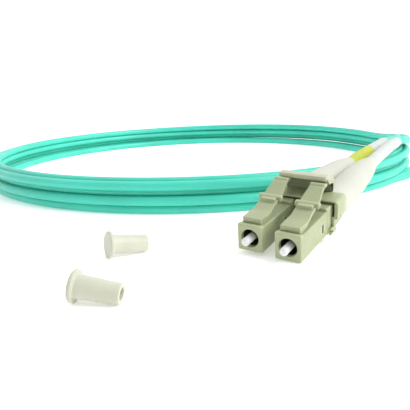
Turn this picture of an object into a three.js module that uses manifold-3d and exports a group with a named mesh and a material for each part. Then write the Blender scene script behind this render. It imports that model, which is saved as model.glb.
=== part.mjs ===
// Duplex fiber optic patch cord with a two-plug connector on each end, wound in a flat round coil.
// Units are millimetres and +Z is up. The cord lies on the plane Z = 0.
// End A lies nose down with its boots propped on the coil. End B lies flat beyond the coil.
// A plug's own frame has its bore centre at the nose face as origin, +Y from the nose to the boot and +Z up.

import * as THREE from "three";
import { mergeVertices } from "three/addons/utils/BufferGeometryUtils.js";
import Module from "manifold-3d";

const wasm = await Module();
wasm.setup();

// ---------------------------------------------------------------- driving dimensions

const GAP = 0.3; // clearance between neighbouring pieces
const ROUND = 24; // facets of a small round piece

// The model's origin, under the middle of the box round the two connectors and the dust caps.
const ORIGIN = [16.07, 68.37, 0];

// Plug
const PITCH = 6.25; // distance between the two bores of a duplex pair
const HALF_W = 2.05; // half the width of a plug housing
const HALF_H = 2.135; // half the height of the nose
const BODY_TOP = 1.95; // top of the housing behind the nose rim
const RIM_LENGTH = 0.8; // the nose rim, along the plug
const SHOULDER_Y = 9.9; // start of the raised shoulder under the clip
const SHOULDER_TOP = 2.45;
const HOUSING_LENGTH = 15.3;
const CHAMFER = 0.22;
const BORE_R = 1.42;
const REAR_BORE_R = 1.62;

const FERRULE_R = 0.625;
const FERRULE_OUT = 1.7; // how far the ferrule stands out of the nose face
const FERRULE_END = 4.9;

const TRIGGER_HALF_W = 4.05;

// Clip
const CLIP_HALF_W = 6.32;
const CLIP_INNER = 5.7; // half the distance between its side walls
const CLIP_Y0 = 11.5;
const CLIP_Y1 = 15.5;
const CLIP_TOP = 2.97;
const CLIP_CEILING = 2.62;
const CLIP_FOOT = 0.0; // lower edge of its side walls
const CLIP_CORNER = 0.7; // its rounded upper corners

// Boots and legs
const BOOT_Y0 = 15.8;
const BOOT_Y1 = 40.6;
const BOOT_R = 2.65; // at the plug; the boot tapers to its tail
const BOOT_BORE_R = 1.25;
const SLEEVE_R = 1.3; // white sleeve on each leg
const MARKER_R = 1.25; // coloured marker sleeve
const MARKER_END = 53.8;
const LEG_END = 65.6;

// Cord and coil
const STRAND_R = 1.0; // one of the two jackets
const COIL_CENTRE = [-58.3, 66.9];
const COIL_R = 60.2; // reference radius of the turns
const COIL_IN = 3.0; // how far the bundle reaches inside the reference radius
const COIL_OUT = 1.8; // how far it reaches outside
const COIL_HEIGHT = 7.1;

// Dust cap, along its own +Y from the closed flange to the open end
const CAP_LENGTH = 6.3;
const CAP_FLANGE_R = 2.1;
const CAP_FLANGE_T = 0.6;
const CAP_ROOT_R = 1.52;
const CAP_TIP_R = 1.32;
const CAP_BORE_R = 0.78;
const CAP_BORE_DEPTH = 5.2;
const CAP_INSERT = 1.4; // how far a fitted cap's tip goes into the bore

// Where each end lies: the point midway between its two bores, and its turns in degrees.
const END_A = { at: [0, 0, 2.51], pitch: 8.3, roll: 2.5, yaw: 0 };
const END_B = { at: [48.4, 156.8, 2.3], pitch: 1.2, roll: 0, yaw: 150 };

// A plug of end A sits a little further out and lower than its twin, by the play in the clip.
const PLAY = { a1: [0, 0], a2: [-0.25, -0.13], b1: [0, 0], b2: [0, 0] };

// Middle line of each boot and the leg behind it, in the frame of its end: X and Z at equal steps of Y.
const LINE_Y0 = 17;
const LINE_STEP = 7;
const LINES = {
  a1: [[-3.12, 0], [-2.6, -0.05], [-2.04, -0.22], [-1.63, -0.42], [-1.42, -0.74], [-1.28, -1.3],
    [-1.07, -1.98], [-0.83, -2.55]],
  a2: [[3.12, -0.13], [3.16, 0.08], [3.1, 0.14], [2.89, 0], [2.67, -0.41], [2.43, -0.91],
    [2.19, -1.48], [2.13, -2.25]],
  b1: [[-3.12, 0], [-3.1, 0], [-2.95, -0.1], [-2.75, -0.3], [-2.5, -0.65], [-2.2, -1.15],
    [-1.85, -1.7], [-1.45, -2.28]],
  b2: [[3.12, 0], [3.1, 0], [2.95, -0.1], [2.75, -0.3], [2.5, -0.65], [2.2, -1.15],
    [1.85, -1.7], [1.45, -2.28]],
};

// Strands between the leg sleeves and the coil, as X, Y and Z before the shift to the model's origin.
const LEADS = {
  a1: [[-0.86, 66.3, 9.6], [-0.65, 70, 9.5], [-0.6, 74, 9.25], [-0.8, 78, 8.85], [-1.1, 81.2, 8.5]],
  a2: [[2.06, 66.3, 9.75], [2.25, 70, 9.6], [2.1, 74, 9.25], [1.6, 78, 8.9], [0.95, 81.6, 8.5]],
  b1: [[5.4, 74.3, 1.02], [6.3, 78.6, 1.02], [8.2, 84.1, 1.04], [11.2, 90.0, 1.1], [16.6, 98.8, 1.38]],
  b2: [[4.4, 79.6, 1.02], [6.2, 84.8, 1.04], [8.9, 91.0, 1.1], [14.1, 100.3, 1.38]],
};

// Loose dust caps: X and Y of the middle of the flange's face, and the turn of the cap in degrees.
const LOOSE_CAPS = { a1: [-21.4, -11.4, 61], a2: [-13.85, -25.0, 23.5] };

// ---------------------------------------------------------------- materials

const finish = (color, roughness, metalness = 0) =>
  new THREE.MeshStandardMaterial({ color, roughness, metalness });

const MATERIALS = {
  housing: finish(0xaeb68c, 0.45),
  latch: finish(0xb8c096, 0.45),
  clip: finish(0xb0b791, 0.5),
  trigger: finish(0xc9cbb0, 0.5),
  ceramic: finish(0xf2f4f4, 0.2),
  steel: finish(0xb9bcbe, 0.35, 1),
  rear: finish(0x9fa780, 0.5),
  boot: finish(0xeceee2, 0.6),
  marker: finish(0xd6dc50, 0.5),
  cap: finish(0xe9ebdd, 0.55),
  cord: finish(0x4cc9b0, 0.45),
};

// ---------------------------------------------------------------- solids

// A three.js geometry as a manifold solid.
function solid(geometry) {
  const bare = geometry.clone();
  bare.deleteAttribute("normal");
  bare.deleteAttribute("uv");
  const merged = mergeVertices(bare, 1e-4);
  return new wasm.Manifold(new wasm.Mesh({
    numProp: 3,
    vertProperties: new Float32Array(merged.attributes.position.array),
    triVerts: new Uint32Array(merged.index.array),
  }));
}

// A manifold solid back as a three.js geometry.
function geometryOf(made) {
  const mesh = made.getMesh();
  const geometry = new THREE.BufferGeometry();
  geometry.setAttribute("position", new THREE.BufferAttribute(mesh.vertProperties, 3));
  geometry.setIndex(new THREE.BufferAttribute(mesh.triVerts, 1));
  geometry.computeVertexNormals();
  return geometry;
}

const join = (first, ...rest) => rest.reduce((sum, g) => sum.add(solid(g)), solid(first));
const cut = (from, ...tools) => tools.reduce((left, g) => left.subtract(solid(g)), from);

function block(x0, x1, y0, y1, z0, z1) {
  return new THREE.BoxGeometry(x1 - x0, y1 - y0, z1 - z0)
    .translate((x0 + x1) / 2, (y0 + y1) / 2, (z0 + z1) / 2);
}

function outline(points) {
  return new THREE.Shape(points.map(([u, v]) => new THREE.Vector2(u, v)));
}

const PLAIN = { bevelEnabled: false, steps: 1 };

// A side profile of Y and Z points, carried across X and centred on x = middle.
function across(points, width, middle = 0) {
  const turn = new THREE.Matrix4().makeBasis(
    new THREE.Vector3(0, 1, 0), new THREE.Vector3(0, 0, 1), new THREE.Vector3(1, 0, 0));
  return new THREE.ExtrudeGeometry(outline(points), { ...PLAIN, depth: width })
    .applyMatrix4(turn)
    .translate(middle - width / 2, 0, 0);
}

// A section of X and Z points, carried along Y from y0 to y1.
function lengthwise(points, y0, y1) {
  const turn = new THREE.Matrix4().makeBasis(
    new THREE.Vector3(1, 0, 0), new THREE.Vector3(0, 0, 1), new THREE.Vector3(0, -1, 0));
  return new THREE.ExtrudeGeometry(outline(points), { ...PLAIN, depth: y1 - y0 })
    .applyMatrix4(turn)
    .translate(0, y1, 0);
}

// A rectangle with cut corners in X and Z, carried along Y from y0 to y1.
function bar(halfW, z0, z1, corner, y0, y1) {
  const points = [
    [-halfW + corner, z0], [halfW - corner, z0], [halfW, z0 + corner], [halfW, z1 - corner],
    [halfW - corner, z1], [-halfW + corner, z1], [-halfW, z1 - corner], [-halfW, z0 + corner],
  ];
  return lengthwise(points, y0, y1);
}

// A profile of radius and Y points, turned round Y. It runs so that the faces point out.
function turned(points, segments = ROUND) {
  return new THREE.LatheGeometry(points.map(([r, y]) => new THREE.Vector2(r, y)), segments);
}

// A rod or a hole round Y.
function rod(radius, y0, y1, segments = ROUND) {
  return turned([[0, y0], [radius, y0], [radius, y1], [0, y1]], segments);
}

// A round tube solid along a smooth line through the points.
function along(points, radius, sides, steps) {
  const line = new THREE.CatmullRomCurve3(points.map((p) => new THREE.Vector3(...p)));
  const section = new THREE.Shape();
  for (let i = 0; i < sides; i += 1) {
    const turn = (2 * Math.PI * i) / sides;
    const corner = [radius * Math.cos(turn), radius * Math.sin(turn)];
    if (i === 0) section.moveTo(...corner);
    else section.lineTo(...corner);
  }
  section.closePath();
  return new THREE.ExtrudeGeometry(section, { steps, extrudePath: line, bevelEnabled: false });
}

// ---------------------------------------------------------------- plug

function housing() {
  const outer = join(
    bar(HALF_W, -HALF_H, HALF_H, CHAMFER, 0, RIM_LENGTH),
    bar(HALF_W, -HALF_H, BODY_TOP, CHAMFER, RIM_LENGTH - 0.1, HOUSING_LENGTH),
    bar(HALF_W, -HALF_H, SHOULDER_TOP, CHAMFER, SHOULDER_Y, HOUSING_LENGTH),
  );
  const slots = [-1, 1].map((side) =>
    block(side * HALF_W - 0.35, side * HALF_W + 0.35, 8.15, 8.75, -1.0, 0.4));
  return geometryOf(cut(
    outer,
    rod(BORE_R, -1, 5),
    rod(REAR_BORE_R, 4.6, HOUSING_LENGTH + 1),
    ...slots,
  ));
}

function latch() {
  const arm = [
    [0.95, 1.96], [2.4, 2.1], [3.8, 2.45], [5.0, 2.75], [6.5, 3.2], [8.0, 3.6], [8.9, 3.9],
    [8.9, 4.45], [8.2, 4.3], [7.3, 4.2], [6.2, 3.75], [5.4, 3.45], [4.3, 3.0], [3.2, 2.9], [1.3, 2.9],
    [0.95, 2.65],
  ];
  const tail = [
    [7.9, 3.55], [9.5, 4.2], [11.0, 4.95], [12.9, 5.1], [12.9, 5.5], [11.9, 5.85], [11.4, 5.95],
    [11.15, 5.6], [9.5, 4.85], [7.9, 4.25],
  ];
  const ears = [[6.85, 3.45], [7.75, 3.6], [7.75, 4.5], [6.85, 4.4]];
  const ridge = [[5.9, 3.3], [6.9, 3.5], [6.9, 4.3], [6.1, 4.2]];
  return geometryOf(join(
    across(arm, 3.35),
    across(tail, 2.4),
    across(ears, 4.0),
    across(ridge, 2.5),
  ));
}

function ferrule() {
  return turned([
    [0, -FERRULE_OUT], [FERRULE_R - 0.12, -FERRULE_OUT], [FERRULE_R, -FERRULE_OUT + 0.2],
    [FERRULE_R, FERRULE_END], [0, FERRULE_END],
  ]);
}

function ferruleHolder() {
  return turned([
    [0, FERRULE_END + 0.1], [1.2, FERRULE_END + 0.1], [1.2, 6.6], [0.5, 6.7], [0.5, 9.2], [0, 9.2],
  ], 16);
}

const SPRING = { y0: 7.9, y1: 10.6, turns: 4.5, radius: 0.95, wire: 0.14 };

function spring() {
  const points = [];
  const perTurn = 8;
  const count = SPRING.turns * perTurn;
  for (let i = 0; i <= count; i += 1) {
    const turn = (2 * Math.PI * i) / perTurn;
    const y = SPRING.y0 + ((SPRING.y1 - SPRING.y0) * i) / count;
    points.push([SPRING.radius * Math.cos(turn), y, SPRING.radius * Math.sin(turn)]);
  }
  return along(points, SPRING.wire, 5, count);
}

// The stop that closes the housing and carries the spring, with the barrel that the crimp grips.
function rearBody() {
  return turned([
    [0.6, 11.0], [1.3, 11.0], [1.3, 15.0], [0.95, 15.2], [0.95, 20.2], [0.6, 20.2], [0.6, 11.0],
  ], 16);
}

function crimpSleeve() {
  return turned([[1.1, 15.6], [1.4, 15.6], [1.4, 20.6], [1.1, 20.6], [1.1, 15.6]], 16);
}

// The middle line of a boot and its leg, as a point of X, Y and Z for a distance y behind the nose.
function middle(key, y) {
  const stations = LINES[key].map(([x, z], i) => new THREE.Vector3(x, LINE_Y0 + i * LINE_STEP, z));
  const line = new THREE.CatmullRomCurve3(stations, false, "catmullrom");
  return line.getPoint(Math.max(y - LINE_Y0, 0) / (LINE_STEP * (stations.length - 1)));
}

// A boot in the frame of its end: a turned body bent along the leg's middle line.
function boot(key) {
  const y1 = BOOT_Y1;
  const geometry = turned([
    [2.3, BOOT_Y0], [BOOT_R - 0.03, 16.5], [BOOT_R, 18.3], [BOOT_R, 26], [2.4, 31.5], [2.18, 35.5],
    [1.82, 38.2], [1.58, y1 - 0.6], [1.45, y1], [BOOT_BORE_R, y1], [BOOT_BORE_R, 35.5],
    [BOOT_BORE_R, 31.5], [BOOT_BORE_R, 26.6], [1.85, 24.0], [1.85, 20], [1.85, BOOT_Y0], [2.3, BOOT_Y0],
  ], 16);
  const position = geometry.attributes.position;
  for (let i = 0; i < position.count; i += 1) {
    const at = middle(key, position.getY(i));
    position.setX(i, position.getX(i) + at.x);
    position.setZ(i, position.getZ(i) + at.z);
  }
  return geometry;
}

// ---------------------------------------------------------------- duplex clip and trigger

function clip() {
  const width = CLIP_HALF_W - CLIP_INNER;
  const top = [
    [CLIP_Y0, CLIP_CEILING], [CLIP_Y1, CLIP_CEILING], [CLIP_Y1, CLIP_TOP], [CLIP_Y0, CLIP_TOP],
  ];
  const shell = [across(top, 2 * CLIP_HALF_W - 2 * CLIP_CORNER)];
  for (const side of [-1, 1]) {
    const inner = side * CLIP_INNER;
    const corner = side * (CLIP_HALF_W - CLIP_CORNER);
    const outer = side * CLIP_HALF_W;
    const wall = [
      [inner, CLIP_FOOT], [outer, CLIP_FOOT], [outer, CLIP_TOP - CLIP_CORNER],
      [corner + side * 0.7 * CLIP_CORNER, CLIP_TOP - 0.3 * CLIP_CORNER],
      [corner, CLIP_TOP], [corner - side * 0.3, CLIP_TOP - 0.1], [corner - side * 0.3, CLIP_CEILING],
      [inner, CLIP_CEILING],
    ];
    shell.push(lengthwise(wall, CLIP_Y0, CLIP_Y1));
    const middleX = side * (CLIP_INNER + width / 2);
    const hook = [
      [10.3, -2.4], [12.6, -2.4], [12.6, 0.2], [11.5, 0.2], [11.5, -1.3], [10.3, -1.3], [10.3, -1.6],
      [11.1, -1.6], [11.1, -2.1], [10.3, -2.1],
    ];
    shell.push(across(hook, width - 0.15, middleX));
    const plate = [[12.5, -1.3], [15.3, -1.3], [15.3, 0.2], [12.5, 0.2]];
    shell.push(across(plate, width - 0.25, middleX));
  }
  const rib = [[CLIP_Y0 + 0.4, -1.6], [CLIP_Y1, -1.6], [CLIP_Y1, 2.8], [CLIP_Y0 + 0.4, 2.8]];
  shell.push(across(rib, PITCH - 2 * HALF_W - 1.0));
  return geometryOf(join(...shell));
}

// The plate over the latch tails, with the curved web that comes down to the rear of the clip.
function trigger() {
  const plate = [
    [12.3, 5.78], [13.4, 5.78], [14.4, 5.25], [15.35, 4.6], [15.55, 4.0], [15.3, 3.25], [15.75, 3.25],
    [16.5, 3.6], [16.6, 4.25], [16.0, 5.25], [13.9, 6.47], [12.3, 6.47],
  ];
  const gusset = [[12.9, 5.75], [14.35, 4.55], [16.4, 4.1], [16.6, 4.3], [16.0, 5.2], [14.0, 6.2]];
  const sides = [-1, 1].map((side) => across(gusset, 0.6, side * (TRIGGER_HALF_W - 0.3)));
  return geometryOf(join(across(plate, 2 * TRIGGER_HALF_W), ...sides));
}

// ---------------------------------------------------------------- dust cap, sleeves, cord

function dustCap() {
  return turned([
    [0, 0], [CAP_FLANGE_R, 0], [CAP_FLANGE_R, CAP_FLANGE_T], [CAP_ROOT_R, CAP_FLANGE_T],
    [CAP_TIP_R, CAP_LENGTH], [CAP_BORE_R, CAP_LENGTH], [CAP_BORE_R, CAP_LENGTH - CAP_BORE_DEPTH],
    [0, CAP_LENGTH - CAP_BORE_DEPTH],
  ]);
}

// The part of a leg's middle line between two distances behind the nose.
function legPart(key, from, to) {
  const count = 4;
  return Array.from({ length: count + 1 }, (_, i) =>
    middle(key, from + ((to - from) * i) / count).toArray());
}

function coil() {
  const r0 = COIL_R - COIL_IN;
  const r1 = COIL_R + COIL_OUT;
  const section = [
    [r0, 0.05], [r1 - 0.5, 0.05], [r1, 1.6], [r1, 5.2], [r1 - 0.6, 6.3], [r1 - 1.8, 6.6],
    [r0 + 2.2, COIL_HEIGHT], [r0 + 1.0, COIL_HEIGHT], [r0, 4.6], [r0, 0.05],
  ];
  return turned(section, 72).rotateX(Math.PI / 2);
}

// ---------------------------------------------------------------- assembly

const cord = new THREE.Group();
cord.position.set(-ORIGIN[0], -ORIGIN[1], -ORIGIN[2]);

function piece(parent, name, geometry, material) {
  const mesh = new THREE.Mesh(geometry, material);
  mesh.name = name;
  parent.add(mesh);
  return mesh;
}

const radians = THREE.MathUtils.degToRad;

function endGroup(end) {
  const group = new THREE.Group();
  group.position.set(...end.at);
  group.rotation.set(radians(end.pitch), radians(end.roll), radians(end.yaw), "ZXY");
  cord.add(group);
  return group;
}

function addPlug(parent, key, side) {
  const plug = new THREE.Group();
  const [out, down] = PLAY[key];
  plug.position.set((side * PITCH) / 2, out, down);
  parent.add(plug);
  piece(plug, `housing_${key}`, housing(), MATERIALS.housing);
  piece(plug, `latch_${key}`, latch(), MATERIALS.latch);
  piece(plug, `ferrule_${key}`, ferrule(), MATERIALS.ceramic);
  piece(plug, `ferrule_holder_${key}`, ferruleHolder(), MATERIALS.steel);
  piece(plug, `spring_${key}`, spring(), MATERIALS.steel);
  piece(plug, `rear_body_${key}`, rearBody(), MATERIALS.rear);
  piece(plug, `crimp_sleeve_${key}`, crimpSleeve(), MATERIALS.steel);
  piece(parent, `boot_${key}`, boot(key), MATERIALS.boot);
  return plug;
}

function addLeg(parent, key, marked) {
  let start = BOOT_Y1 + GAP;
  if (marked) {
    piece(parent, `marker_sleeve_${key}`, along(legPart(key, start, MARKER_END), MARKER_R, 12, 8),
      MATERIALS.marker);
    start = MARKER_END + GAP;
  }
  piece(parent, `leg_sleeve_${key}`, along(legPart(key, start, LEG_END), SLEEVE_R, 12, 8),
    MATERIALS.boot);
}

function addEnd(letter, end) {
  const group = endGroup(end);
  [-1, 1].forEach((side, i) => {
    const key = `${letter}${i + 1}`;
    const plug = addPlug(group, key, side);
    addLeg(group, key, i === 0);
    if (letter === "b") {
      const cap = piece(plug, `dust_cap_${key}`, dustCap(), MATERIALS.cap);
      cap.position.y = CAP_INSERT - CAP_LENGTH;
    }
  });
  piece(group, `clip_${letter}`, clip(), MATERIALS.clip);
  piece(group, `trigger_${letter}`, trigger(), MATERIALS.trigger);
}

addEnd("a", END_A);
addEnd("b", END_B);

for (const [key, [x, y, turn]] of Object.entries(LOOSE_CAPS)) {
  const tilt = Math.atan((CAP_FLANGE_R - CAP_TIP_R) / (CAP_LENGTH - CAP_FLANGE_T));
  const height = CAP_FLANGE_R * Math.cos(tilt) + CAP_FLANGE_T * Math.sin(tilt);
  const cap = piece(cord, `dust_cap_${key}`, dustCap(), MATERIALS.cap);
  cap.position.set(x, y, height + 0.01);
  cap.rotation.set(-tilt, 0, radians(turn - 90), "ZXY");
}

for (const [key, points] of Object.entries(LEADS)) {
  piece(cord, `lead_${key}`, along(points, STRAND_R, 8, 8), MATERIALS.cord);
}

const ring = piece(cord, "cord_coil", coil(), MATERIALS.cord);
ring.position.set(COIL_CENTRE[0], COIL_CENTRE[1], 0);

export default cord;
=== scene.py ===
"""Looks of a duplex fiber optic patch cord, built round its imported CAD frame.

Small pieces are shaped in millimetres in the frame of their own plug, then placed in the shared frame,
in metres.
A plug's own frame has its bore centre at the nose face as origin, +Y from the nose to the boot and +Z up.
"""

import math

import bmesh
import bpy
from mathutils import Matrix, Vector


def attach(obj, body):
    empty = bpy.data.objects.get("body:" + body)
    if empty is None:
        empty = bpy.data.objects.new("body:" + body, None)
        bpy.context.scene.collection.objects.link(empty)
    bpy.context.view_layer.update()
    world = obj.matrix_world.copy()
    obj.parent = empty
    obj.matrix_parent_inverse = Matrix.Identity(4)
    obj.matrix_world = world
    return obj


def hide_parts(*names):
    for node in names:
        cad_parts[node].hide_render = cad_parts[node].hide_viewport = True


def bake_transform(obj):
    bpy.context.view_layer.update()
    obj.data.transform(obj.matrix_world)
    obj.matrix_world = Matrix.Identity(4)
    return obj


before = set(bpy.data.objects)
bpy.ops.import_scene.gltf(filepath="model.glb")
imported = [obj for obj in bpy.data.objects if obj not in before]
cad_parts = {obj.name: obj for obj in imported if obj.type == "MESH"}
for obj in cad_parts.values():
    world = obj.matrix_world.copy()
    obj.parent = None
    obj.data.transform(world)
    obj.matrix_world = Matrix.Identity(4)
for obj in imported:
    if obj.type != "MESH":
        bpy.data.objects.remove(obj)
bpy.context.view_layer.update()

MM = 0.001

# ---------------------------------------------------------------- driving dimensions

# In millimetres and degrees. They are the CAD model's, apart from the clip's corner, which is 0.7 there,
# and the leads of end B, which have more points here.

ORIGIN = Vector((16.07, 68.37, 0.0))
PITCH = 6.25  # distance between the two bores of a duplex pair
HALF_W = 2.05
HALF_H = 2.135
BODY_TOP = 1.95
RIM_LENGTH = 0.8
SHOULDER_Y = 9.9
SHOULDER_TOP = 2.45
HOUSING_LENGTH = 15.3
BORE_R = 1.42
REAR_BORE_R = 1.62
FERRULE_R = 0.625
FERRULE_OUT = 1.7
FERRULE_END = 4.9
CLIP_HALF_W = 6.32
CLIP_INNER = 5.7
CLIP_Y0 = 11.5
CLIP_Y1 = 15.5
CLIP_TOP = 2.97
CLIP_CEILING = 2.62
CLIP_FOOT = 0.0
CLIP_CORNER = 0.8
TRIGGER_HALF_W = 4.05
BOOT_Y1 = 40.6
SLEEVE_R = 1.3
MARKER_R = 1.25
MARKER_END = 53.8
LEG_END = 65.6
STRAND_R = 1.0
CAP_LENGTH = 6.3
CAP_FLANGE_R = 2.1
CAP_FLANGE_T = 0.6
CAP_ROOT_R = 1.52
CAP_TIP_R = 1.32
CAP_BORE_R = 0.78
CAP_BORE_DEPTH = 5.2
CAP_INSERT = 1.4

# Where each end lies: the point midway between its two bores, and its turns.
ENDS = {
    "a": {"at": (0.0, 0.0, 2.51), "pitch": 8.3, "roll": 2.5, "yaw": 0.0},
    "b": {"at": (48.4, 156.8, 2.3), "pitch": 1.2, "roll": 0.0, "yaw": 150.0},
}
# How far each plug is moved along Y and Z by the play in its clip.
PLAY = {"a1": (0.0, 0.0), "a2": (-0.25, -0.13), "b1": (0.0, 0.0), "b2": (0.0, 0.0)}
# X and Y of the middle of each loose cap's flange face, and the turn of the cap.
LOOSE_CAPS = {"a1": (-21.4, -11.4, 61.0), "a2": (-13.85, -25.0, 23.5)}

# Middle line of each boot and leg in the frame of its end: X and Z at equal steps of Y.
LINE_Y0 = 17.0
LINE_STEP = 7.0
LINES = {
    "a1": ((-3.12, 0), (-2.6, -0.05), (-2.04, -0.22), (-1.63, -0.42), (-1.42, -0.74), (-1.28, -1.3),
           (-1.07, -1.98), (-0.83, -2.55)),
    "a2": ((3.12, -0.13), (3.16, 0.08), (3.1, 0.14), (2.89, 0), (2.67, -0.41), (2.43, -0.91),
           (2.19, -1.48), (2.13, -2.25)),
    "b1": ((-3.12, 0), (-3.1, 0), (-2.95, -0.1), (-2.75, -0.3), (-2.5, -0.65), (-2.2, -1.15),
           (-1.85, -1.7), (-1.45, -2.28)),
    "b2": ((3.12, 0), (3.1, 0), (2.95, -0.1), (2.75, -0.3), (2.5, -0.65), (2.2, -1.15),
           (1.85, -1.7), (1.45, -2.28)),
}

# Strands between the leg sleeves and the coil, before the shift to the model's origin.
LEADS = {
    "a1": ((-0.86, 66.3, 9.6), (-0.65, 70, 9.5), (-0.6, 74, 9.25), (-0.8, 78, 8.85), (-1.1, 81.2, 8.5)),
    "a2": ((2.06, 66.3, 9.75), (2.25, 70, 9.6), (2.1, 74, 9.25), (1.6, 78, 8.9), (0.95, 81.6, 8.5)),
    "b1": ((2.67, 64.18, 1.02), (5.4, 74.3, 1.02), (6.3, 78.6, 1.02), (8.2, 84.1, 1.04),
           (11.2, 90.0, 1.1), (16.6, 98.8, 1.38)),
    "b2": ((0.73, 64.63, 1.02), (2.95, 73.9, 1.02), (4.4, 79.6, 1.02), (6.2, 84.8, 1.04),
           (8.9, 91.0, 1.1), (14.1, 100.3, 1.38)),
}

COIL_CENTRE = (-58.3, 66.9)
COIL_R = 60.2  # reference radius of the turns

# ---------------------------------------------------------------- camera, floor and light

CAMERA_AT = Vector((15.547, -131.004, 25.567))
CAMERA_YAW = 34.23
CAMERA_DOWN = 13.80
CAMERA_ROLL = -2.026
CAMERA_LENS = 43.9
FLOOR_R = 6.0  # metres
FLOOR_GLOW = 0.3
NEAR_SIDE = (0.54, -0.8, 0.26)  # direction of the dimmer part of the sky
SKY_FAR = 1.12  # strength of the sky away from the near side
SKY_NEAR = 0.35  # its strength on the near side
SKY_NEAR_FROM = 0.9  # cosine of the angle from the near side where the sky is dimmest


def turned_by(degrees, axis):
    return Matrix.Rotation(math.radians(degrees), 4, axis)


def add_object(name, data):
    obj = bpy.data.objects.new(name, data)
    bpy.context.scene.collection.objects.link(obj)
    return obj


def make_camera():
    data = bpy.data.cameras.new("camera")
    data.lens = CAMERA_LENS
    data.clip_start = 0.005
    camera = add_object("camera", data)
    turn = turned_by(CAMERA_YAW, "Z") @ turned_by(90 - CAMERA_DOWN, "X") @ turned_by(CAMERA_ROLL, "Z")
    camera.matrix_world = Matrix.Translation(CAMERA_AT * MM) @ turn
    bpy.context.scene.camera = camera


def soft_light(name, at, aim, size, power):
    data = bpy.data.lights.new(name, "AREA")
    data.shape = "DISK"
    data.size = size
    data.energy = power
    light = add_object(name, data)
    facing = (Vector(aim) - Vector(at)).to_track_quat("-Z", "Y")
    light.matrix_world = Matrix.Translation(at) @ facing.to_matrix().to_4x4()


def make_world():
    """A white sky, dimmer on the near side, so that the faces turned that way are in soft shade."""
    world = bpy.data.worlds.new("studio")
    world.use_nodes = True
    nodes, links = world.node_tree.nodes, world.node_tree.links
    sky = nodes["Background"]
    sky.inputs["Color"].default_value = (1.0, 1.0, 1.0, 1.0)
    toward = nodes.new("ShaderNodeVectorMath")
    toward.operation = "DOT_PRODUCT"
    links.new(nodes.new("ShaderNodeTexCoord").outputs["Generated"], toward.inputs[0])
    toward.inputs[1].default_value = NEAR_SIDE
    level = nodes.new("ShaderNodeMapRange")
    links.new(toward.outputs["Value"], level.inputs["Value"])
    level.inputs["From Min"].default_value = 0.0
    level.inputs["From Max"].default_value = SKY_NEAR_FROM
    level.inputs["To Min"].default_value = SKY_FAR
    level.inputs["To Max"].default_value = SKY_NEAR
    links.new(level.outputs["Result"], sky.inputs["Strength"])
    bpy.context.scene.world = world
    bpy.context.scene.view_settings.view_transform = "Standard"


def make_floor():
    """A white floor that glows a little, so that it ends in the white of the sky without a line."""
    shape = bmesh.new()
    bmesh.ops.create_circle(shape, cap_ends=True, radius=FLOOR_R, segments=96)
    mesh = bpy.data.meshes.new("floor")
    shape.to_mesh(mesh)
    shape.free()
    material = bpy.data.materials.new("pale_floor")
    material.use_nodes = True
    shader = material.node_tree.nodes["Principled BSDF"]
    shader.inputs["Base Color"].default_value = (0.97, 0.97, 0.97, 1.0)
    shader.inputs["Roughness"].default_value = 0.9
    shader.inputs["Specular IOR Level"].default_value = 0.1
    shader.inputs["Emission Color"].default_value = (1.0, 1.0, 1.0, 1.0)
    shader.inputs["Emission Strength"].default_value = FLOOR_GLOW
    mesh.materials.append(material)
    add_object("floor", mesh)


make_camera()
make_world()
make_floor()
soft_light("key", at=(0.65, 0.15, 0.65), aim=(0.0, -0.03, 0.0), size=0.6, power=7.4)

# ---------------------------------------------------------------- places


def end_place(letter):
    end = ENDS[letter]
    turn = turned_by(end["yaw"], "Z") @ turned_by(end["pitch"], "X") @ turned_by(end["roll"], "Y")
    return Matrix.Translation(Vector(end["at"]) - ORIGIN) @ turn


def side_of(key):
    """-1 for the left plug of a pair and 1 for the right one, seen from behind the nose."""
    return -1 if key[1] == "1" else 1


def plug_place(key):
    along, up = PLAY[key]
    return end_place(key[0]) @ Matrix.Translation((side_of(key) * PITCH / 2, along, up))


def loose_cap_place(key):
    x, y, heading = LOOSE_CAPS[key]
    tilt = math.atan((CAP_FLANGE_R - CAP_TIP_R) / (CAP_LENGTH - CAP_FLANGE_T))
    height = CAP_FLANGE_R * math.cos(tilt) + CAP_FLANGE_T * math.sin(tilt) + 0.01
    turn = turned_by(heading - 90, "Z") @ turned_by(-math.degrees(tilt), "X")
    return Matrix.Translation(Vector((x, y, height)) - ORIGIN) @ turn


def curve_point(points, at):
    """A point of a smooth line through the points. at counts points from the first."""
    last = len(points) - 1
    i = min(max(int(math.floor(at)), 0), last - 1)
    t = at - i
    p1, p2 = Vector(points[i]), Vector(points[i + 1])
    p0 = Vector(points[i - 1]) if i > 0 else 2 * p1 - p2
    p3 = Vector(points[i + 2]) if i + 2 <= last else 2 * p2 - p1
    v1, v2 = (p2 - p0) / 2, (p3 - p1) / 2
    return (p1 * (2 * t**3 - 3 * t**2 + 1) + v1 * (t**3 - 2 * t**2 + t)
            + p2 * (3 * t**2 - 2 * t**3) + v2 * (t**3 - t**2))


def smooth_line(points, per_point):
    count = (len(points) - 1) * per_point
    return [curve_point(points, i / per_point) for i in range(count + 1)]


def middle(key, y):
    """The middle line of a boot and its leg, in the frame of its end."""
    x, z = curve_point(LINES[key], max(0.0, y - LINE_Y0) / LINE_STEP)
    return Vector((x, y, z))


# ---------------------------------------------------------------- materials


def mix_colours(nodes, links, factor, first, second):
    mix = nodes.new("ShaderNodeMix")
    mix.data_type = "RGBA"
    links.new(factor, mix.inputs["Factor"])
    for socket, value in ((mix.inputs[6], first), (mix.inputs[7], second)):
        if isinstance(value, bpy.types.NodeSocket):
            links.new(value, socket)
        else:
            socket.default_value = (*value, 1.0)
    return mix.outputs[2]


def noise(nodes, links, place, scale, detail=3.0):
    made = nodes.new("ShaderNodeTexNoise")
    made.inputs["Scale"].default_value = scale
    made.inputs["Detail"].default_value = detail
    links.new(place, made.inputs["Vector"])
    return made.outputs["Fac"]


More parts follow.
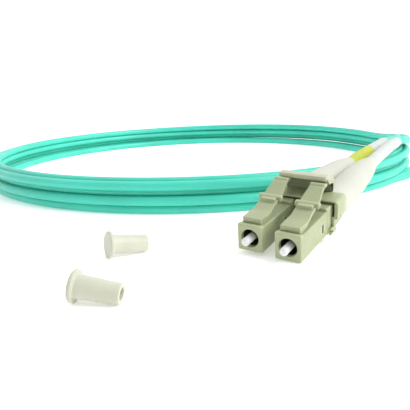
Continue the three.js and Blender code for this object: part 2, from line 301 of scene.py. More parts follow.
def spread(nodes, links, value, low, high, to_low, to_high):
    made = nodes.new("ShaderNodeMapRange")
    made.interpolation_type = "SMOOTHSTEP"
    links.new(value, made.inputs["Value"])
    made.inputs["From Min"].default_value = low
    made.inputs["From Max"].default_value = high
    made.inputs["To Min"].default_value = to_low
    made.inputs["To Max"].default_value = to_high
    return made.outputs["Result"]


def shade(colour, factor):
    return tuple(min(1.0, c * factor) for c in colour)


def linear(hex_colour):
    """A colour given as RRGGBB, in linear light."""
    parts = [int(hex_colour[i:i + 2], 16) / 255 for i in (0, 2, 4)]
    return tuple(c / 12.92 if c <= 0.04045 else ((c + 0.055) / 1.055) ** 2.4 for c in parts)


def moulded(name, colour, roughness, variation=0.05, patch=0.003, grain=0.00015, relief=0.000004,
            edges=0.0, metallic=0.0, **constants):
    """A material with colour drifting in soft patches, a fine surface grain and a painted highlight on edges.

    patch and grain are the sizes of the colour patches and of the grain, in metres.
    """
    material = bpy.data.materials.new(name)
    material.use_nodes = True
    nodes, links = material.node_tree.nodes, material.node_tree.links
    shader = nodes["Principled BSDF"]
    place = nodes.new("ShaderNodeTexCoord").outputs["Object"]
    patches = spread(nodes, links, noise(nodes, links, place, 1 / patch), 0.3, 0.7, 0.0, 1.0)
    tone = mix_colours(nodes, links, patches, shade(colour, 1 - variation), shade(colour, 1 + variation))
    if edges:
        # Sharp edges, found by pointiness, are lightened: a painted highlight.
        pointed = nodes.new("ShaderNodeNewGeometry").outputs["Pointiness"]
        edge_highlight = spread(nodes, links, pointed, 0.505, 0.57, 0.0, edges)
        tone = mix_colours(nodes, links, edge_highlight, tone, shade(colour, 1.6))
    links.new(tone, shader.inputs["Base Color"])
    fine = noise(nodes, links, place, 1 / grain, 2.0)
    rough = spread(nodes, links, noise(nodes, links, place, 3 / patch), 0.25, 0.75,
                   roughness - 0.06, roughness + 0.06)
    links.new(rough, shader.inputs["Roughness"])
    bump = nodes.new("ShaderNodeBump")
    bump.inputs["Strength"].default_value = 0.6
    bump.inputs["Distance"].default_value = relief
    links.new(fine, bump.inputs["Height"])
    links.new(bump.outputs["Normal"], shader.inputs["Normal"])
    shader.inputs["Metallic"].default_value = metallic
    for socket, value in constants.items():
        shader.inputs[socket.replace("_", " ")].default_value = value
    return material


# edges lightens the sharp edges of the plug and trigger plastics as a painted highlight.
PLUG = moulded("olive_plug_plastic", linear("9EA682"), 0.42, edges=0.5, Subsurface_Weight=0.03,
               Subsurface_Scale=0.0004)
TRIGGER = moulded("beige_trigger_plastic", linear("B2B39A"), 0.45, edges=0.4, Subsurface_Weight=0.03,
                  Subsurface_Scale=0.0004)
CERAMIC = moulded("white_zirconia", linear("DDDFE0"), 0.16, variation=0.02, relief=0.0000005,
                  Coat_Weight=0.3, Coat_Roughness=0.08)
STEEL = moulded("brushed_steel", linear("C4C6C8"), 0.32, grain=0.00008, metallic=1.0)
# A darker olive: the stop's plastic, and on the trigger web the plug plastic with painted shade.
STOP_AND_WEB_SHADE = moulded("olive_stop_and_web_shade", linear("8A9270"), 0.5)
# Near-black olive for the pieces that paint the shade deep in the bore and in the side recesses.
SHADE = moulded("painted_shade_olive", linear("23260F"), 0.7)
BOOT = moulded("white_boot_rubber", linear("C4C6BA"), 0.58, variation=0.025, patch=0.006, relief=0.000008,
               Subsurface_Weight=0.12, Subsurface_Scale=0.0012)
SLEEVE = moulded("white_shrink_sleeve", linear("C6CAC6"), 0.5, variation=0.02, patch=0.004,
                 Subsurface_Weight=0.12, Subsurface_Scale=0.0008)
MARKER = moulded("yellow_marker_plastic", linear("B9C02C"), 0.45, variation=0.07, patch=0.004,
                 Subsurface_Weight=0.08, Subsurface_Scale=0.0008)
CAP = moulded("cream_cap_plastic", linear("C4C6B4"), 0.5, variation=0.03, patch=0.0025, relief=0.000008,
              Subsurface_Weight=0.1, Subsurface_Scale=0.001)
JACKET = moulded("aqua_jacket", linear("48D0BA"), 0.4, variation=0.05, patch=0.012, grain=0.0003,
                 relief=0.000006, Subsurface_Weight=0.2, Subsurface_Scale=0.001)

# ---------------------------------------------------------------- shape tools, in millimetres

SHARP_ANGLE = 38.0
RIM_STEPS = 3


def rounded(points, radius, steps=4, closed=True):
    """An outline with its corners rounded. A third number of a point is that corner's own radius."""
    corners = [Vector(p[:2]) for p in points]
    made = []
    for i, corner in enumerate(corners):
        own = points[i][2] if len(points[i]) > 2 else radius
        if own == 0 or (not closed and i in (0, len(corners) - 1)):
            made.append(corner)
            continue
        before, after = corners[i - 1], corners[(i + 1) % len(corners)]
        reach = min(own, 0.45 * (before - corner).length, 0.45 * (after - corner).length)
        start = corner + (before - corner).normalized() * reach
        end = corner + (after - corner).normalized() * reach
        for step in range(steps + 1):
            t = step / steps
            made.append(start * (1 - t) ** 2 + corner * 2 * t * (1 - t) + end * t**2)
    return made


def inset(outline, depth):
    """The outline moved inwards by depth."""
    area = sum(p.cross(outline[i - 1]) for i, p in enumerate(outline))
    way = 1 if area < 0 else -1
    moved = []
    for i, point in enumerate(outline):
        before = (point - outline[i - 1]).normalized()
        after = (outline[(i + 1) % len(outline)] - point).normalized()
        side = Vector((-before.y - after.y, before.x + after.x))
        moved.append(point + side * (way * depth / max(1 + before.dot(after), 0.6)))
    return moved


def rim_steps(radius):
    """Pairs of inset and travel that round the rim of an extruded shape."""
    angles = [math.pi / 2 * k / RIM_STEPS for k in range(RIM_STEPS + 1)]
    return [(radius * (1 - math.sin(a)), radius * (1 - math.cos(a))) for a in angles]


def loft(rings, closed=False):
    """A shape skinned over rings of equally many points. It is capped, or closed on itself like a torus."""
    shape = bmesh.new()
    rows = [[shape.verts.new(p) for p in ring] for ring in rings]
    count = len(rows[0])
    pairs = list(zip(rows, rows[1:])) + ([(rows[-1], rows[0])] if closed else [])
    for row, following in pairs:
        for i in range(count):
            j = (i + 1) % count
            shape.faces.new((row[i], row[j], following[j], following[i]))
    if not closed:
        shape.faces.new(rows[0])
        shape.faces.new(rows[-1])
    bmesh.ops.recalc_face_normals(shape, faces=shape.faces)
    return shape


def across(outline, x0, x1, rim=0.1):
    """A side outline of Y and Z carried from x0 to x1, with rounded rims."""
    steps = [(cut, x0 + go) for cut, go in rim_steps(rim)]
    steps += [(cut, x1 - go) for cut, go in rim_steps(rim)][::-1]
    return loft([[(x, p.x, p.y) for p in inset(outline, cut)] for cut, x in steps])


def lengthwise(outline_at, stations, rim=0.1):
    """An outline of X and Z, given for each Y, carried along the stations, with rounded ends."""
    y0, y1 = stations[0], stations[-1]
    steps = [(cut, y0 + go) for cut, go in rim_steps(rim)]
    steps += [(0, y) for y in stations if y0 + rim < y < y1 - rim]
    steps += [(cut, y1 - go) for cut, go in rim_steps(rim)][::-1]
    return loft([[(p.x, y, p.y) for p in inset(outline_at(y), cut)] for cut, y in steps])


def turned(profile, segments=64):
    """A profile of radius and Y turned round Y. Its ends lie on the axis, or it closes on itself."""
    shape = bmesh.new()
    verts = [shape.verts.new((r, y, 0)) for r, y in profile]
    closed = profile[0][0] > 0
    count = len(verts)
    edge_count = count if closed else count - 1
    edges = [shape.edges.new((verts[i], verts[(i + 1) % count])) for i in range(edge_count)]
    bmesh.ops.spin(shape, geom=verts + edges, cent=(0, 0, 0), axis=(0, 1, 0), angle=2 * math.pi,
                   steps=segments, use_merge=True)
    bmesh.ops.remove_doubles(shape, verts=shape.verts, dist=1e-5)
    bmesh.ops.recalc_face_normals(shape, faces=shape.faces)
    return shape


def profile_of(points, radius=0.08, closed=False):
    return [tuple(p) for p in rounded(points, radius, 3, closed)]


def combined(first, second, operation):
    """One closed shape from two, joined (UNION) or cut (DIFFERENCE)."""
    work = []
    for shape in (first, second):
        mesh = bpy.data.meshes.new("work")
        shape.to_mesh(mesh)
        shape.free()
        work.append(add_object("work", mesh))
    modifier = work[0].modifiers.new("boolean", "BOOLEAN")
    modifier.operation = operation
    modifier.object = work[1]
    modifier.solver = "MANIFOLD"
    result = bmesh.new()
    result.from_object(work[0], bpy.context.evaluated_depsgraph_get())
    for obj in work:
        mesh = obj.data
        bpy.data.objects.remove(obj)
        bpy.data.meshes.remove(mesh)
    return result


def joined(first, *others):
    for other in others:
        first = combined(first, other, "UNION")
    return first


def mesh_of(shape):
    mesh = bpy.data.meshes.new("shape")
    shape.to_mesh(mesh)
    shape.free()
    return mesh


def place_piece(name, shape, place, material, nodes, body=None):
    """A placed piece of the model. shape is a mesh in millimetres, and stays as it is."""
    mesh = shape.copy()
    mesh.name = name
    mesh.transform(Matrix.Scale(MM, 4) @ place)
    mesh.materials.append(material)
    mesh.shade_smooth()
    mesh.set_sharp_from_angle(angle=math.radians(SHARP_ANGLE))
    obj = add_object(name, mesh)
    if body:
        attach(obj, body)
    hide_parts(*nodes)
    return obj


# ---------------------------------------------------------------- the cord

TURN_STEP = 15  # degrees between the coil's route points
SMOOTH = 6  # drawn points for each route point

# The coil's turns, in degrees wound from its +X side.
COIL_START = 24
COIL_END = 1068
FIRST_TURN_END = 375
FLOOR_TURN_START = 765

# How the bundle loosens: the last turns stray inwards and the first one rises, each round one direction
# from the coil's centre and within a reach on both sides of it, in degrees.
LAST_TURNS_IN, IN_AT, IN_REACH = 0.9, 165, 75
FIRST_TURN_UP, UP_AT, UP_REACH = 0.45, 85, 65

# Cross-section places of the turns, from the reference radius: middle of the pair outwards and up,
# and the angle from its middle to the inner strand.
TURNS = {
    "top": (-0.15, 6.09, 166.0),
    "middle": (0.15, 3.58, 131.0),
    "floor": (-1.0, 1.02, 180.0),
}
LEAD_SLOTS = {"inner": (-1.24, 8.5), "outer": (0.85, 8.5)}


def turn_slot(turn, strand):
    out, up, angle = TURNS[turn]
    way = 1 if strand == "inner" else -1
    lean = math.radians(angle)
    return Vector((out + way * STRAND_R * math.cos(lean), up + way * STRAND_R * math.sin(lean)))


# Where the turns pass from one place to the next, in the same degrees.
WINDING = ((14, "lead"), (45, "top"), (FIRST_TURN_END, "top"), (405, "middle"), (735, "middle"),
           (FLOOR_TURN_START, "floor"), (COIL_END, "floor"))


def coil_offset(degrees, strand):
    """How far out and up a strand lies at an angle of the winding."""
    slots = [Vector(LEAD_SLOTS[strand]) if name == "lead" else turn_slot(name, strand)
             for _, name in WINDING]
    for i in range(len(WINDING) - 1):
        start, end = WINDING[i][0], WINDING[i + 1][0]
        if degrees <= end:
            t = max(0.0, (degrees - start) / (end - start))
            return slots[i].lerp(slots[i + 1], t * t * (3 - 2 * t))
    return slots[-1]


def bulge(degrees, middle_angle, reach):
    """A smooth hump from 0 to 1 and back, round a direction from the coil's centre."""
    away = abs((degrees - middle_angle + 180) % 360 - 180)
    return 0.5 + 0.5 * math.cos(math.pi * min(1.0, away / reach))


def looseness(degrees):
    """How far the turns stray from a tight bundle: the last ones inwards, and the first ones up."""
    laid = min(1.0, max(0.0, (degrees - FIRST_TURN_END) / (FLOOR_TURN_START - FIRST_TURN_END)))
    inwards = -LAST_TURNS_IN * laid * bulge(degrees, IN_AT, IN_REACH)
    up = FIRST_TURN_UP * max(0.0, 1 - 3 * laid) * bulge(degrees, UP_AT, UP_REACH)
    return inwards, up


def coil_points(strand):
    points = []
    steps = round((COIL_END - COIL_START) / TURN_STEP)
    for i in range(steps + 1):
        degrees = COIL_START + (COIL_END - COIL_START) * i / steps
        out, up = coil_offset(degrees, strand) + Vector(looseness(degrees))
        angle = math.radians(degrees)
        radius = COIL_R + out
        x = COIL_CENTRE[0] + radius * math.cos(angle)
        y = COIL_CENTRE[1] + radius * math.sin(angle)
        points.append((x, y, up))
    return points


# Distances behind the nose where the strand's route is set inside its leg sleeves.
LEG_STATIONS = (40.2, 46.5, 53.0, 59.5, 65.4)


def leg_points(key):
    """The strand inside its leg sleeves, from the boot's tail."""
    place = end_place(key[0])
    return [place @ middle(key, y) for y in LEG_STATIONS]


def strand_route(start, strand, end):
    lead_out = [Vector(p) - ORIGIN for p in LEADS[start]]
    coil = [Vector(p) - ORIGIN for p in coil_points(strand)]
    lead_in = [Vector(p) - ORIGIN for p in LEADS[end]]
    return leg_points(start) + lead_out + coil + lead_in + leg_points(end)[::-1]


def make_strand(name, points):
    curve = bpy.data.curves.new(name, "CURVE")
    curve.dimensions = "3D"
    curve.bevel_depth = STRAND_R * MM
    curve.bevel_resolution = 6
    curve.use_fill_caps = True
    spline = curve.splines.new("POLY")
    spline.points.add(len(points) - 1)
    for target, point in zip(spline.points, points):
        target.co = (*(point * MM), 1.0)
    spline.use_smooth = True
    curve.materials.append(JACKET)
    return add_object(name, curve)


ROUTES = {
    "strand_inner": strand_route("a1", "inner", "b2"),
    "strand_outer": strand_route("a2", "outer", "b1"),
}
LINES_DRAWN = {name: smooth_line(route, SMOOTH) for name, route in ROUTES.items()}


def make_web():
    """The thin bridge between the two jackets, where they run side by side."""
    half_across, half_thick = 0.45, 0.16
    pairs = list(zip(LINES_DRAWN["strand_inner"], LINES_DRAWN["strand_outer"]))
    close = [i for i, (p, q) in enumerate(pairs) if (p - q).length < 2.25]
    rings = []
    for i in range(close[0], close[-1] + 1):
        inner, outer = pairs[i]
        go = (pairs[min(i + 1, len(pairs) - 1)][0] - pairs[max(i - 1, 0)][0]).normalized()
        out = (outer - inner).normalized()
        up = out.cross(go).normalized()
        centre = (inner + outer) / 2
        corners = ((1, 1), (-1, 1), (-1, -1), (1, -1))
        rings.append([centre + out * (a * half_across) + up * (b * half_thick) for a, b in corners])
    return mesh_of(loft(rings))


STRANDS = {name: make_strand(name, points) for name, points in LINES_DRAWN.items()}
web = place_piece("jacket_web", make_web(), Matrix.Identity(4), JACKET, [], "cord_body")

# ---------------------------------------------------------------- plug housing

OUTLINE_SIDE_POINTS = 6
CORNER_STEPS = 4


def housing_outline(half_w, top, corner=0.24):
    """The housing's section of X and Z, with further points along its sides for an even nose face."""
    corners = [(-half_w, -HALF_H), (half_w, -HALF_H), (half_w, top), (-half_w, top)]
    arcs = rounded(corners, corner, CORNER_STEPS)
    per_corner = CORNER_STEPS + 1
    made = []
    for i, point in enumerate(arcs):
        made.append(point)
        if (i + 1) % per_corner == 0:
            following = arcs[(i + 1) % len(arcs)]
            made += [point.lerp(following, k / OUTLINE_SIDE_POINTS) for k in range(1, OUTLINE_SIDE_POINTS)]
    return made


# The recess in each side of the housing: its outline in Y and Z, and how far out its floor is.
RECESS = ((8.15, -1.0), (8.75, -1.0), (8.75, 0.4), (8.15, 0.4))
RECESS_FLOOR = 1.93


def housing_shape():
    nose = housing_outline(HALF_W, HALF_H)
    angles = [math.atan2(p.y, p.x) for p in nose]
    bore = [(REAR_BORE_R, HOUSING_LENGTH), (REAR_BORE_R, 4.96), (0.9, 4.94), (0.9, 4.6), (BORE_R, 4.58),
            (BORE_R, 0.16), (BORE_R + 0.04, 0.06), (BORE_R + 0.12, 0.0)]
    rings = [[(r * math.cos(a), y, r * math.sin(a)) for a in angles] for r, y in bore]
    slim = HALF_W - 0.02
    wide = HALF_W + 0.09
    skin = [  # y, half width, top, inset
        (0.0, HALF_W, HALF_H, 0.17), (0.02, HALF_W, HALF_H, 0.1), (0.07, HALF_W, HALF_H, 0.04),
        (0.17, HALF_W, HALF_H, 0.0), (RIM_LENGTH - 0.06, HALF_W, HALF_H, 0.0),
        (RIM_LENGTH, HALF_W - 0.01, HALF_H - 0.05, 0.0), (RIM_LENGTH + 0.04, slim, BODY_TOP + 0.03, 0.0),
        (RIM_LENGTH + 0.12, slim, BODY_TOP, 0.0), (4.0, slim, BODY_TOP, 0.0), (7.0, slim, BODY_TOP, 0.0),
        (SHOULDER_Y - 0.08, slim, BODY_TOP, 0.0), (SHOULDER_Y, slim, BODY_TOP + 0.06, 0.0),
        (SHOULDER_Y + 0.05, slim, SHOULDER_TOP - 0.08, 0.0), (SHOULDER_Y + 0.14, slim, SHOULDER_TOP, 0.0),
        (10.25, slim, SHOULDER_TOP, 0.0),
        (10.4, wide, SHOULDER_TOP, 0.0), (12.5, wide, SHOULDER_TOP, 0.0),
        (HOUSING_LENGTH - 0.12, wide, SHOULDER_TOP, 0.0), (HOUSING_LENGTH - 0.03, wide, SHOULDER_TOP, 0.04),
        (HOUSING_LENGTH, wide, SHOULDER_TOP, 0.12),
    ]
    for y, half_w, top, depth in skin:
        rings.append([(p.x, y, p.y) for p in inset(housing_outline(half_w, top), depth)])
    shape = loft(rings, closed=True)
    for side in (-1, 1):
        x0, x1 = sorted((side * RECESS_FLOOR, side * (HALF_W + 0.3)))
        shape = combined(shape, across(rounded(RECESS, 0.08, 3), x0, x1, 0.02), "DIFFERENCE")
    return shape


def bore_shade_shape():
    """A thin dark tube that paints the shade in the deep part of the bore."""
    outer, inner, front, rear = BORE_R - 0.005, BORE_R - 0.04, 0.7, 4.57
    loop = [(outer, front), (outer, rear), (0.75, rear), (0.75, 4.5), (inner, 4.5), (inner, front)]
    return turned(loop, 48)


def recess_shade_shape():
    """Thin dark sheets on the floors of the two side recesses, which paint their shade."""
    outline = rounded(RECESS, 0.08, 3)
    floors = [across(outline, *sorted((side * RECESS_FLOOR, side * (RECESS_FLOOR + 0.05))), 0.01)
              for side in (-1, 1)]
    return joined(*floors)


# ---------------------------------------------------------------- latch

# Along the latch: Y, underside, top and half width.
LATCH_STATIONS = (
    (0.95, 1.93, 2.98, 1.55), (1.8, 1.93, 2.98, 1.58), (2.5, 2.02, 2.98, 1.62), (3.2, 2.22, 2.98, 1.65),
    (3.9, 2.44, 3.0, 1.61), (4.6, 2.62, 3.14, 1.54), (5.4, 2.88, 3.44, 1.48), (6.2, 3.1, 3.72, 1.46),
    (7.0, 3.36, 3.98, 1.48), (7.8, 3.6, 4.16, 1.52), (8.4, 3.82, 4.36, 1.5), (9.2, 4.14, 4.74, 1.4),
    (10.2, 4.56, 5.26, 1.24), (11.0, 4.9, 5.64, 1.14), (11.6, 5.03, 5.7, 1.08), (12.9, 5.1, 5.5, 1.02),
)
LATCH_STEP = 0.15
LATCH_ROUND = 0.09


def latch_section(y):
    last = len(LATCH_STATIONS) - 1
    i = 0
    while i < last - 1 and LATCH_STATIONS[i + 1][0] < y:
        i += 1
    y0, y1 = LATCH_STATIONS[i][0], LATCH_STATIONS[i + 1][0]
    points = [(bottom, top, half) for _, bottom, top, half in LATCH_STATIONS]
    bottom, top, half = curve_point(points, i + (y - y0) / (y1 - y0))
    return rounded([(-half, bottom), (half, bottom), (half, top), (-half, top)], LATCH_ROUND, 3)


def latch_shape():
    first, last = LATCH_STATIONS[0][0], LATCH_STATIONS[-1][0]
    count = round((last - first) / LATCH_STEP)
    stations = [first + (last - first) * i / count for i in range(count + 1)]
    arm = lengthwise(latch_section, stations, LATCH_ROUND)
    step = rounded([(5.95, 3.4), (7.3, 3.6), (7.6, 4.1), (7.0, 4.26), (6.05, 4.22)], 0.1)
    ears = rounded([(6.85, 3.5), (7.7, 3.66), (7.78, 4.3), (7.5, 4.46), (6.95, 4.38)], 0.2)
    lip = rounded([(10.95, 5.3), (11.95, 5.4), (11.85, 5.85), (11.35, 5.98), (11.1, 5.8)], 0.1)
    return joined(arm, across(step, -1.25, 1.25, 0.1), across(ears, -2.0, 2.0, 0.22),
                  across(lip, -1.2, 1.2, 0.1))


# ---------------------------------------------------------------- ferrule and the pieces behind it


def ferrule_shape():
    tip = -FERRULE_OUT
    dome = [(0.0, tip), (0.2, tip + 0.01), (0.42, tip + 0.045), (0.5, tip + 0.11), (FERRULE_R, tip + 0.3)]
    end = [(FERRULE_R, FERRULE_END - 0.1), (FERRULE_R - 0.1, FERRULE_END), (0.0, FERRULE_END)]
    return turned(profile_of(dome + end, 0.04))


def holder_shape():
    flange = [(0, 5.0), (1.2, 5.0), (1.2, 5.6), (1.05, 5.7), (1.05, 6.0), (1.2, 6.1), (1.2, 6.6)]
    stem = [(0.5, 6.7), (0.5, 9.2), (0, 9.2)]
    return turned(profile_of(flange + stem, 0.06), 48)


def spring_shape():
    """A coil spring as a swept wire."""
    y0, y1, turns, radius, wire = 7.9, 10.6, 4.5, 0.95, 0.14
    per_turn, sides = 24, 10
    rings = []
    count = round(turns * per_turn)
    for i in range(count + 1):
        angle = 2 * math.pi * i / per_turn
        out = Vector((math.cos(angle), 0, math.sin(angle)))
        centre = out * radius + Vector((0, y0 + (y1 - y0) * i / count, 0))
        around = [2 * math.pi * k / sides for k in range(sides)]
        rings.append([centre + out * (wire * math.cos(a)) + Vector((0, wire * math.sin(a), 0))
                      for a in around])
    return loft(rings)


def rear_body_shape():
    return turned(profile_of([(0.6, 11.0), (1.3, 11.0), (1.3, 13.2), (1.45, 13.4), (1.45, 14.2), (1.3, 14.4),
                              (1.3, 15.0), (0.95, 15.2), (0.95, 20.2), (0.6, 20.2)], 0.05, True), 48)


def crimp_shape():
    """The crimped metal sleeve, with the pinched bands of the crimping tool."""
    outer = [(1.4, 15.6)]
    for band in range(4):
        y = 16.2 + band * 1.05
        outer += [(1.4, y), (1.3, y + 0.15), (1.3, y + 0.45), (1.4, y + 0.6)]
    outer += [(1.4, 20.6)]
    return turned(profile_of(outer + [(1.1, 20.6), (1.1, 15.6)], 0.04, True), 48)


# ---------------------------------------------------------------- boot and leg sleeves


def bent(shape, key):
    """The shape, modelled round Y, moved onto the middle line of its leg."""
    for vert in shape.verts:
        at = middle(key, vert.co.y)
        vert.co.x += at.x
        vert.co.z += at.z
    return shape


def stretch(points, step=1.0):
    """A profile with further points on its long straights, so that it bends smoothly."""
    made = []
    for a, b in zip(points, points[1:]):
        count = max(1, round((Vector(b) - Vector(a)).length / step))
        made += [tuple(Vector(a).lerp(Vector(b), k / count)) for k in range(count)]
    return made + [points[-1]]


# Outer radius and Y along the boot.
BOOT_SKIN = ((2.0, 15.5), (2.3, 15.62), (2.54, 15.95), (2.62, 16.6), (2.65, 18.3), (2.65, 22.0), (2.65, 26.0),
             (2.55, 28.8), (2.4, 31.5), (2.3, 33.5), (2.16, 35.4), (1.98, 37.1), (1.78, 38.4), (1.6, 39.5),
             (1.5, 40.3), (1.42, BOOT_Y1))


def boot_shape(key):
    skin = [tuple(p) for p in smooth_line(BOOT_SKIN, 4)]
    bore = [(1.27, BOOT_Y1), (1.25, 40.4), (1.25, 26.6), (1.85, 24.0), (1.85, 15.64), (1.95, 15.5)]
    return bent(turned(stretch(skin + bore, 1.2)), key)


def sleeve_shape(key, y0, y1, radius, end_radius, bore=1.0):
    """A sleeve on a leg, with a slightly closed far end."""
    skin = [(radius - 0.05, y0), (radius, y0 + 0.12), (radius, y1 - 1.6), (radius - 0.03, y1 - 0.9),
            (end_radius + 0.03, y1 - 0.12), (end_radius, y1)]
    hole = [(bore, y1), (bore, y0)]
    return bent(turned(stretch(skin + hole), 48), key)


# ---------------------------------------------------------------- clip and trigger


def clip_section(_):
    sides = [
        (-CLIP_HALF_W, CLIP_FOOT, 0.1), (-CLIP_INNER, CLIP_FOOT, 0.1), (-CLIP_INNER, CLIP_CEILING, 0.12),
        (CLIP_INNER, CLIP_CEILING, 0.12), (CLIP_INNER, CLIP_FOOT, 0.1), (CLIP_HALF_W, CLIP_FOOT, 0.1),
        (CLIP_HALF_W, CLIP_TOP, CLIP_CORNER), (-CLIP_HALF_W, CLIP_TOP, CLIP_CORNER),
    ]
    return rounded(sides, 0.1, 5)


def clip_shape():
    """The shell over both plugs, with the rib between them and a keeper under each side wall."""
    parts = [lengthwise(clip_section, (CLIP_Y0, 13.5, CLIP_Y1), 0.12)]
    rib_half = (PITCH - 2 * HALF_W - 1.0) / 2
    rib_y0, rib_y1 = CLIP_Y0 + 0.4, CLIP_Y1 - 0.1
    rib = rounded([(rib_y0, -1.6), (rib_y1, -1.6), (rib_y1, 2.8), (rib_y0, 2.8)], 0.2)
    parts.append(across(rib, -rib_half, rib_half, 0.1))
    hook = [(11.5, -1.25), (10.3, -1.25), (10.3, -1.6), (11.1, -1.6), (11.1, -2.05), (10.3, -2.05),
            (10.3, -2.4), (12.6, -2.4), (12.6, -1.3)]
    keeper = rounded([(11.5, 0.3)] + hook + [(15.3, -1.3), (15.3, 0.3)], 0.1)
    for side in (-1, 1):
        x0, x1 = sorted((side * 5.3, side * (CLIP_INNER + 0.04)))
        parts.append(across(keeper, x0, x1, 0.08))
    shape = joined(*parts)
    notch = rounded([(12.3, -0.5), (12.9, -0.5), (12.9, 0.35), (12.3, 0.35)], 0.12)
    for side in (-1, 1):
        x0, x1 = sorted((side * (CLIP_INNER + 0.06), side * (CLIP_HALF_W + 0.3)))
        shape = combined(shape, across(notch, x0, x1, 0.02), "DIFFERENCE")
    return shape


def trigger_shape():
    """The plate over the latch tails."""
    plate = rounded([
        (12.3, 5.74, 0.1), (13.3, 5.76, 0.3), (14.5, 5.3, 0.8), (15.5, 4.75, 0.5), (16.2, 4.2, 0.1),
        (16.6, 4.3, 0.3), (15.9, 5.25, 0.8), (13.9, 6.47, 0.8), (12.3, 6.47, 0.14),
    ], 0.15, 6)
    gusset = rounded([(12.8, 5.8), (14.35, 4.57), (14.9, 4.62), (16.4, 4.16), (16.6, 4.35), (15.9, 5.2),
                      (14.0, 6.2)], 0.1)
    half = TRIGGER_HALF_W
    shape = across(plate, -half, half, 0.12)
    for side in (-1, 1):
        x0, x1 = sorted((side * half, side * (half - 0.6)))
        shape = joined(shape, across(gusset, x0, x1, 0.1))
    return shape


def trigger_web_shape():
    """The curved web from the underside of the plate down to the rear edge of the clip."""
    web = rounded([
        (13.6, 5.9, 0.1), (14.2, 5.4, 0.5), (15.45, 4.55, 0.8), (15.62, 3.8, 0.4), (15.46, 2.9, 0.05),
        (15.8, 2.9, 0.05), (16.4, 3.6, 0.3), (16.4, 4.4, 0.2), (14.6, 5.8, 0.3),
    ], 0.1, 6)
    half = TRIGGER_HALF_W - 0.05
    return across(web, -half, half, 0.1)


# ---------------------------------------------------------------- dust cap


def cap_shape():
    bottom = CAP_LENGTH - CAP_BORE_DEPTH
    points = [
        (0, 0.05), (1.2, 0.0), (CAP_FLANGE_R - 0.03, 0.0, 0.2), (CAP_FLANGE_R, CAP_FLANGE_T, 0.2),
        (CAP_ROOT_R + 0.03, CAP_FLANGE_T + 0.02, 0.18), (CAP_TIP_R, CAP_LENGTH, 0.16),
        (CAP_BORE_R + 0.02, CAP_LENGTH, 0.14), (CAP_BORE_R, bottom, 0.05), (0, bottom),
    ]
    return turned(profile_of(points, 0.1), 72)


# ---------------------------------------------------------------- assembly

SHAPES = {
    "housing": mesh_of(housing_shape()),
    "recess": mesh_of(recess_shade_shape()),
    "bore_shade": mesh_of(bore_shade_shape()),
    "latch": mesh_of(latch_shape()),
    "ferrule": mesh_of(ferrule_shape()),
    "holder": mesh_of(holder_shape()),
    "spring": mesh_of(spring_shape()),
    "rear_body": mesh_of(rear_body_shape()),
    "crimp": mesh_of(crimp_shape()),
    "clip": mesh_of(clip_shape()),
    "trigger": mesh_of(trigger_shape()),
    "trigger_web": mesh_of(trigger_web_shape()),
    "cap": mesh_of(cap_shape()),
}


def place_flexing(name, shape, place, material, node):
    """A piece placed with its transform baked into its mesh, its CAD node hidden.
    """
    obj = place_piece(name, shape, place, material, [node])
    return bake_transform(obj)


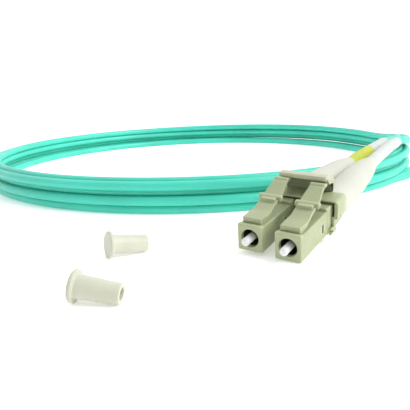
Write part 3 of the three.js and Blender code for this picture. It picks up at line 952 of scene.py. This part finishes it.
def place_plug(key):
    place = plug_place(key)
    place_piece(f"plug_shell_{key}", SHAPES["housing"], place, PLUG, [f"housing_{key}"],
                "cord_body")
    # Dark pieces that paint the shade in the side recesses and deep in the bore.
    for part in ("recess", "bore_shade"):
        place_piece(f"{part}_{key}", SHAPES[part], place, SHADE, [], "cord_body")
    place_flexing(f"latch_arm_{key}", SHAPES["latch"], place, PLUG, f"latch_{key}")
    place_piece(f"zirconia_{key}", SHAPES["ferrule"], place, CERAMIC, [f"ferrule_{key}"],
                f"ferrule_{key}")
    place_piece(f"flange_{key}", SHAPES["holder"], place, STEEL, [f"ferrule_holder_{key}"],
                f"ferrule_{key}")
    inner = (("spring", "coil_spring", STEEL, "metal"), ("rear_body", "stop", STOP_AND_WEB_SHADE, "plug_body"),
             ("crimp", "crimp", STEEL, "metal"))
    nodes = {"spring": "spring", "rear_body": "rear_body", "crimp": "crimp_sleeve"}
    for shape, name, material, slot in inner:
        place_piece(f"{name}_{key}", SHAPES[shape], place, material, [f"{nodes[shape]}_{key}"],
                    "cord_body")


def place_leg(key, marked):
    """The boot and the sleeves behind it. Returns the sleeves, which lie on the cord."""
    place = end_place(key[0])
    place_piece(f"boot_skin_{key}", mesh_of(boot_shape(key)), place, BOOT, [f"boot_{key}"],
                "cord_body")
    sleeves = []
    start = BOOT_Y1 - 0.5
    if marked:
        shape = mesh_of(sleeve_shape(key, start, MARKER_END, MARKER_R, MARKER_R - 0.02))
        sleeves.append(place_piece(f"marker_{key}", shape, place, MARKER,
                                   [f"marker_sleeve_{key}"], "cord_body"))
        start = MARKER_END - 0.05
    shape = mesh_of(sleeve_shape(key, start, LEG_END, SLEEVE_R, 1.16))
    sleeves.append(place_piece(f"sleeve_{key}", shape, place, SLEEVE, [f"leg_sleeve_{key}"],
                               "cord_body"))
    return sleeves


for letter in ENDS:
    for number in (1, 2):
        key = f"{letter}{number}"
        place_plug(key)
        place_leg(key, number == 1)
    place_piece(f"clip_shell_{letter}", SHAPES["clip"], end_place(letter), PLUG, [f"clip_{letter}"],
                "cord_body")
    # The web is the plug plastic; its darker olive is painted shade under the plate.
    for part, material, slot in (("trigger", TRIGGER, "trigger"), ("trigger_web", STOP_AND_WEB_SHADE, "clip")):
        place_flexing(f"{part}_skin_{letter}", SHAPES[part], end_place(letter), material,
                      f"trigger_{letter}")

for key in LOOSE_CAPS:
    place_piece(f"cap_{key}", SHAPES["cap"], loose_cap_place(key), CAP, [f"dust_cap_{key}"],
                f"dust_cap_{key}")
for key in ("b1", "b2"):
    fitted = plug_place(key) @ Matrix.Translation((0, CAP_INSERT - CAP_LENGTH, 0))
    place_piece(f"cap_{key}", SHAPES["cap"], fitted, CAP, [f"dust_cap_{key}"], f"dust_cap_{key}")

# ---------------------------------------------------------------- the strands on the cord's body

for name, start, end, extra in (("strand_inner", "a1", "b2", [web]), ("strand_outer", "a2", "b1", [])):
    strand = STRANDS[name]
    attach(strand, "cord_body")
    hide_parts(f"lead_{start}", "cord_coil", f"lead_{end}")
